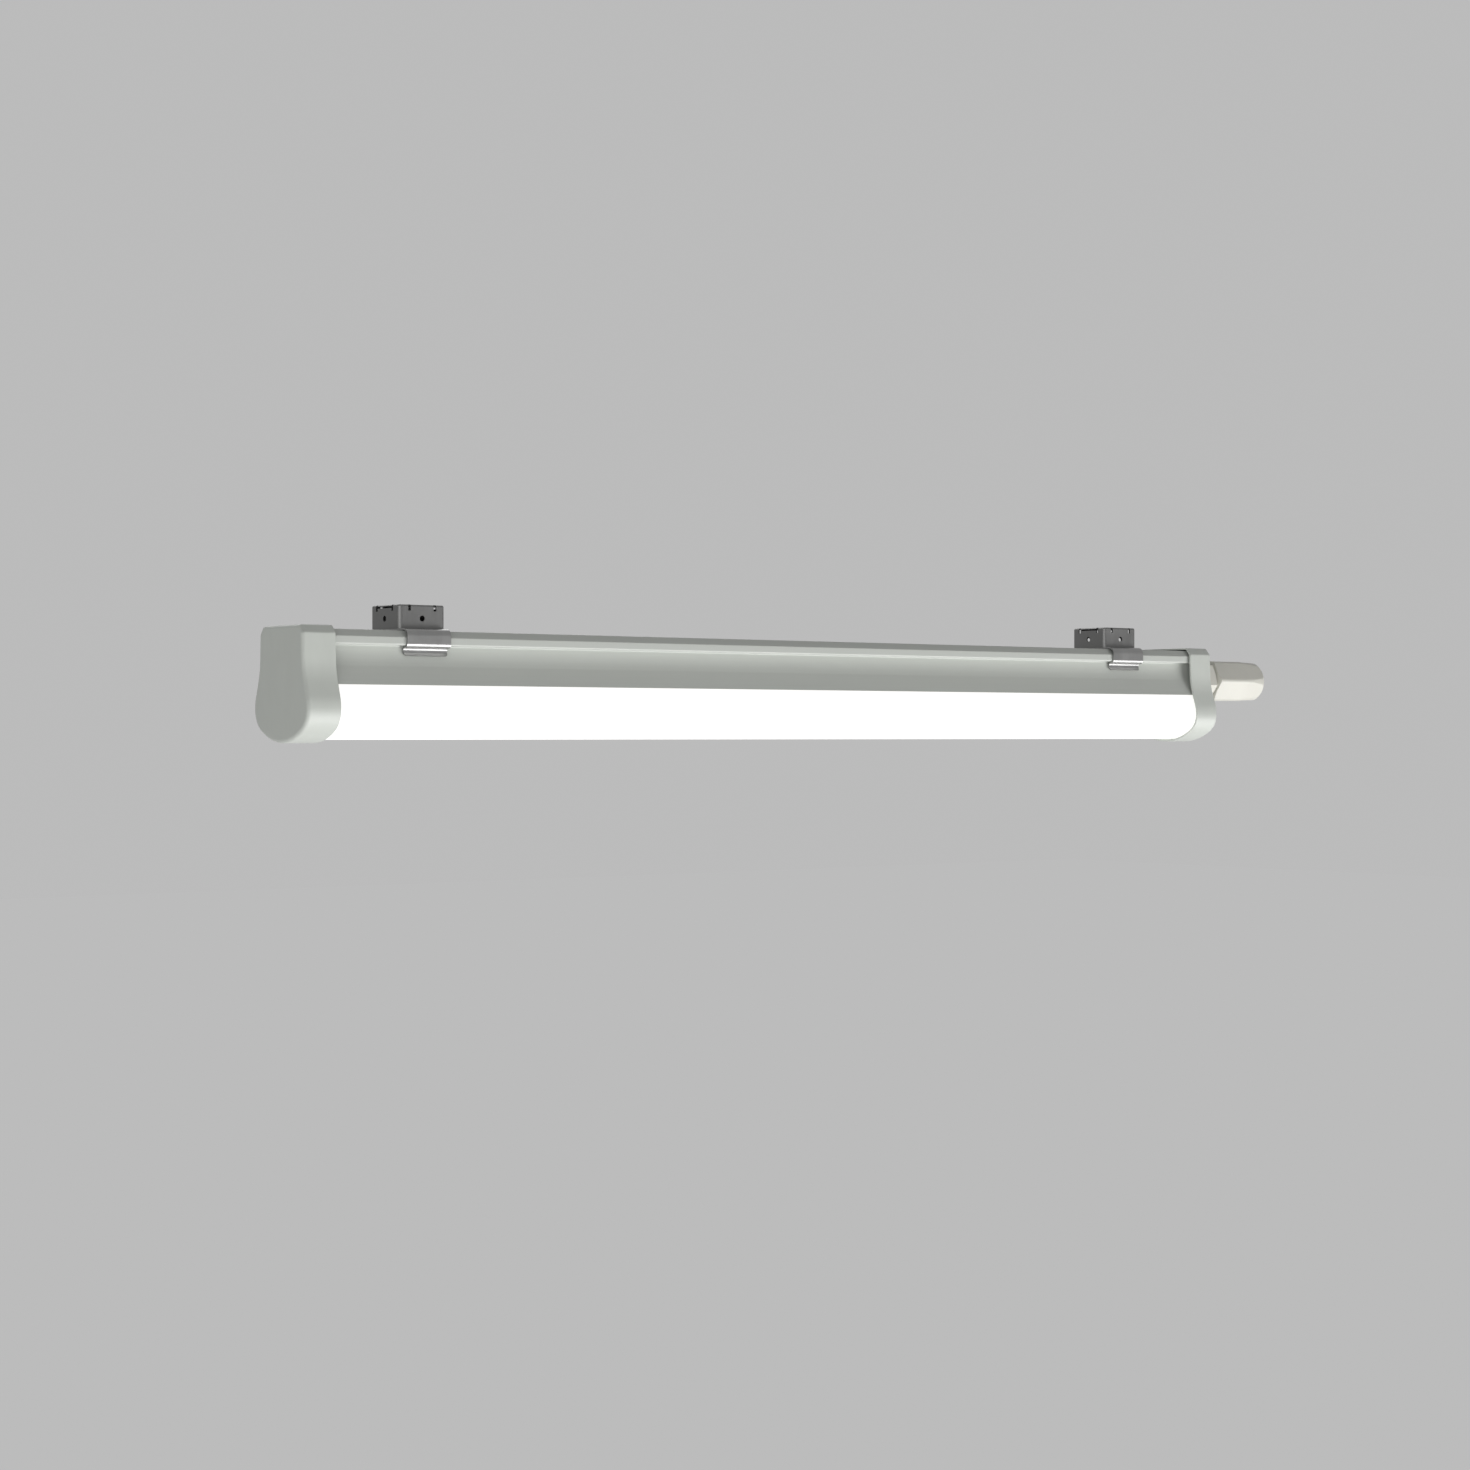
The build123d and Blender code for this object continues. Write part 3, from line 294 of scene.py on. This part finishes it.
extruded("housing_plastic", housing_grey).dress("housing_extrusion")
moulded("cap_plastic", cap_grey).dress("left_end_cap", "right_end_cap")
moulded("gland_nut_nylon", nut_white, gloss=0.36, spread=0.03).dress("gland_cap_nut")
moulded("gland_body_nylon", collar_white_painted_lit, spread=0.03).dress("gland_body", "gland_locknut")
rolled("bracket_stainless", bracket_steel_painted_shade, (fine, fine, long), gloss=0.44).dress(
    "left_ceiling_bracket", "right_ceiling_bracket")
rolled("clip_stainless", clip_steel_painted_sheen, (fine, long, long), gloss=0.33).dress(
    "left_spring_clip", "right_spring_clip")
plated("rivet_steel", (0.58, 0.58, 0.57)).dress("left_clip_rivets", "right_clip_rivets")
# The first glow colour is the painted shade at the joint with the housing, the second the full
# glow
lit_opal("opal_diffuser", haze_colors=((0.50, 0.50, 0.49), (0.56, 0.56, 0.55)),
         shaded_and_lit_glow=((0.93, 0.92, 0.89), (1.0, 0.995, 0.975)), strength=0.75).dress("diffuser")

# Inside
cured("seal_silicone", (0.03, 0.03, 0.032)).dress(
    "left_end_gasket", "right_end_gasket", "gland_washer")
cured("insert_rubber", (0.025, 0.025, 0.025)).dress("gland_insert")
moulded("slip_acetal", (0.75, 0.75, 0.72), gloss=0.3).dress("gland_slip_ring")
moulded("tray_powder_coat", (0.78, 0.78, 0.76), gloss=0.5, texture=0.00004).dress("gear_tray")
moulded("board_white_mask", (0.80, 0.80, 0.78), gloss=0.35).dress("led_board")
moulded("board_green_mask", (0.02, 0.11, 0.05), gloss=0.3, spread=0.15).dress("driver_board")
moulded("chip_phosphor", (0.80, 0.62, 0.14), gloss=0.25).dress("led_chips")
moulded("connector_nylon", (0.76, 0.76, 0.73), gloss=0.33).dress("board_connector", "wire_clips")
moulded("driver_shell", (0.66, 0.66, 0.65), gloss=0.5, texture=0.00005).dress(
    "driver_case", "driver_cover")
moulded("core_tape", (0.72, 0.45, 0.03), gloss=0.3, spread=0.1).dress("driver_transformer")
moulded("capacitor_sleeve", (0.02, 0.025, 0.035), gloss=0.25, spread=0.2).dress(
    "driver_capacitors")
moulded("terminal_nylon", (0.55, 0.55, 0.53), gloss=0.45).dress("terminal_block")
plated("zinc_plate", (0.62, 0.63, 0.64)).dress(
    "board_screws", "driver_screws", "terminal_screw", "earth_screw")
plated("tinned_copper", (0.72, 0.70, 0.64)).dress("earth_lug")

for finish_name, button_color, button in (
        ("button_brown", (0.10, 0.035, 0.012), "live_release_button"),
        ("button_blue", (0.01, 0.05, 0.30), "neutral_release_button"),
        ("button_green", (0.02, 0.16, 0.02), "earth_release_button")):
    moulded(finish_name, button_color, gloss=0.3, spread=0.1).dress(button)

sheathed("live_brown", (0.12, 0.04, 0.015)).dress("live_wire")
sheathed("neutral_blue", (0.01, 0.05, 0.33)).dress("neutral_wire")
sheathed("positive_red", (0.45, 0.01, 0.01)).dress("led_positive_wire")
sheathed("negative_black", (0.015, 0.015, 0.015)).dress("led_negative_wire")
sheathed("earth_green_yellow", (0.03, 0.25, 0.03), other_side=(0.75, 0.62, 0.02)).dress(
    "earth_wire")

# Surroundings: pale where they are seen, and a dimmer light on what they surround
pale = 0.50
room_light = 0.2

world = bpy.data.worlds.new("studio")
world.use_nodes = True
scene.world = world
sky = Board(world.node_tree)
backdrop = sky.node("ShaderNodeBackground", None, {
    "Color": (1.0, 1.0, 1.0), "Strength": room_light + (pale - room_light) * sky.seen()})
sky.node("ShaderNodeOutputWorld", None, {"Surface": backdrop})

# Pale floor well below the fitting: seen mostly in its own tone, and partly as the lamps light it
floor_reach = 60.0
floor_level = -3.8
floor_tone = 1.13 * pale
floor_own_share = 0.85

floor_mesh = bpy.data.meshes.new("floor")
floor_mesh.from_pydata([(-floor_reach, -floor_reach, 0), (floor_reach, -floor_reach, 0),
                        (floor_reach, floor_reach, 0), (-floor_reach, floor_reach, 0)],
                       [], [(0, 1, 2, 3)])
floor = bpy.data.objects.new("floor", floor_mesh)
floor.location = (0, 0, floor_level)
scene.collection.objects.link(floor)
paint = Finish("floor_paint")
paint_as_lit = paint.coat(Base_Color=(0.7, 0.7, 0.7), Roughness=0.9, Specular_IOR_Level=0.1)
paint_own_tone = paint.node("ShaderNodeEmission", None, {
    "Color": (floor_tone, floor_tone, floor_tone)})
paint.done(paint.node("ShaderNodeMixShader", None, {
    0: paint.seen() * floor_own_share, 1: paint_as_lit, 2: paint_own_tone}))
floor_mesh.materials.append(paint.material)

fitting_middle = Vector((0, 0, -0.03))


def lamp(name, place, size, watts):
    """Square soft lamp turned to the middle of the fitting."""
    data = bpy.data.lights.new(name, "AREA")
    data.size = size
    data.energy = watts
    placed = bpy.data.objects.new(name, data)
    placed.location = place
    placed.rotation_euler = (fitting_middle - Vector(place)).to_track_quat("-Z", "Y").to_euler()
    placed.visible_camera = False
    scene.collection.objects.link(placed)


lamp("low_front_lamp", (1.9, -2.05, -1.95), 2.4, 98.0)
lamp("bounce_lamp", (-0.7, -0.8, -2.2), 3.0, 29.0)
lamp("left_fill_lamp", (-2.4, -1.6, -0.2), 2.4, 25.0)
lamp("back_fill_lamp", (0.9, 3.0, 3.2), 4.0, 70.0)
